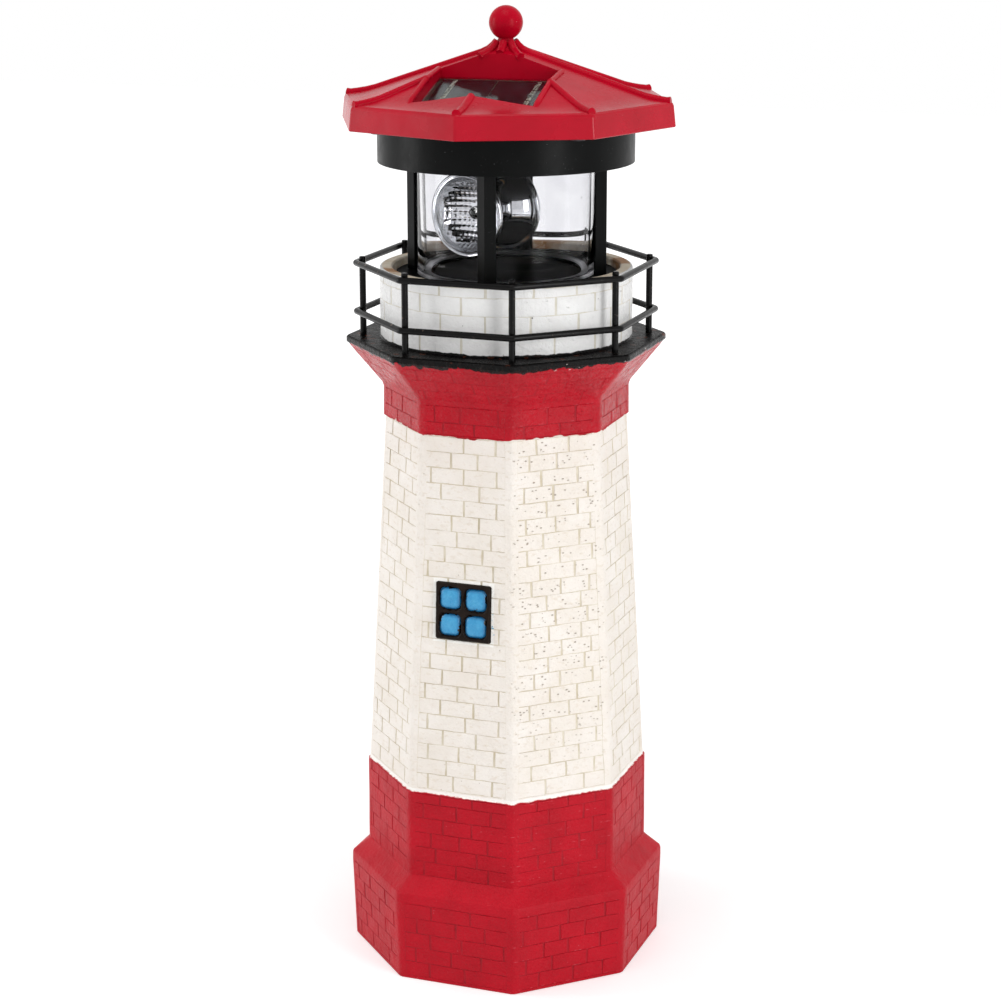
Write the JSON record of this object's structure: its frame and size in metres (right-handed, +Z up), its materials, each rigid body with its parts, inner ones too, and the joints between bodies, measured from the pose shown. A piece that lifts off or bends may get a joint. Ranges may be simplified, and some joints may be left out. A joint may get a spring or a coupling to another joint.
{
  "type": "garden lighthouse ornament",
  "caption": "Eight-sided garden lighthouse with a railed deck and a lift-out solar lantern whose twin reflector head turns inside a clear tube.",
  "frame": {"origin": "centre of the base on the ground", "axes": "+Z up along the tower, -Y is the normal of the tower face that carries the window"},
  "size_m": [0.1264, 0.1264, 0.3604],
  "materials": {
    "cast_resin": "hand-painted cast resin, satin",
    "plate_black": "matt moulded plastic",
    "frame_black": "black paint on cast resin",
    "pane_blue": "glossy blue paint",
    "wire_black": "gloss black paint on steel wire",
    "housing_black": "satin black moulded plastic",
    "tube_clear": "clear moulded plastic",
    "roof_red": "gloss red moulded plastic",
    "screw_steel": "zinc-plated steel",
    "board_green": "coated circuit board",
    "cell_dark": "dark solar cell",
    "ribbon_silver": "tinned ribbon",
    "panel_clear": "clear glossy coat",
    "contact_brass": "brass",
    "motor_steel": "plated steel can",
    "bracket_metal": "plain aluminium",
    "battery_sleeve": "printed-free green sleeve",
    "gear_nylon": "natural nylon",
    "reflector_chrome": "vacuum-plated plastic",
    "lamp_clear": "clear lamp lens"
  },
  "bodies": {
    "tower": {"tower_shell": "cast_resin", "base_plate": "plate_black", "window_frame": "frame_black", "window_panes": "pane_blue", "upper_rail": "wire_black", "lower_rail": "wire_black", "railing_posts": "wire_black"},
    "lantern": {"lantern_base": "housing_black", "lantern_posts": "housing_black", "clear_tube": "tube_clear", "cap": "housing_black", "roof": "roof_red", "finial": "roof_red", "roof_screws": "screw_steel", "panel_board": "board_green", "solar_cells": "cell_dark", "cell_ribbons": "ribbon_silver", "panel_glass": "panel_clear", "spindle_bushing": "contact_brass", "motor": "motor_steel", "motor_bracket": "bracket_metal", "bracket_screws": "screw_steel", "battery_holder": "housing_black", "battery": "battery_sleeve", "battery_contacts": "screw_steel", "circuit_board": "board_green", "board_parts": "housing_black", "brush_block": "gear_nylon", "brushes": "contact_brass", "switch_housing": "housing_black"},
    "beacon": {"spindle": "screw_steel", "beacon_gear": "gear_nylon", "slip_rings": "contact_brass", "beacon_hub": "housing_black", "reflector_front": "reflector_chrome", "reflector_rear": "reflector_chrome", "lamps": "lamp_clear"},
    "drive": {"motor_shaft": "screw_steel", "motor_pinion": "gear_nylon"},
    "switch": {"switch_slider": "gear_nylon"}
  },
  "joints": [
    {"name": "lantern_lift", "type": "slide", "parent": "tower", "child": "lantern", "axis": [0, 0, 1], "range_m": [0, 0.03]},
    {"name": "beacon_spin", "type": "hinge", "parent": "lantern", "child": "beacon", "pos_m": [-0.00778, -0.00056, 0.285], "axis": [0, 0, 1], "continuous": true},
    {"name": "motor_spin", "type": "hinge", "parent": "lantern", "child": "drive", "pos_m": [0.01217, 0.00087, 0.312], "axis": [0, 0, 1], "continuous": true},
    {"name": "switch_slide", "type": "slide", "parent": "lantern", "child": "switch", "axis": [0, 0, 1], "range_m": [0, 0.0024]}
  ],
  "couplings": [
    {"joint": "motor_spin", "follows": "beacon_spin", "ratio": -3}
  ]
}
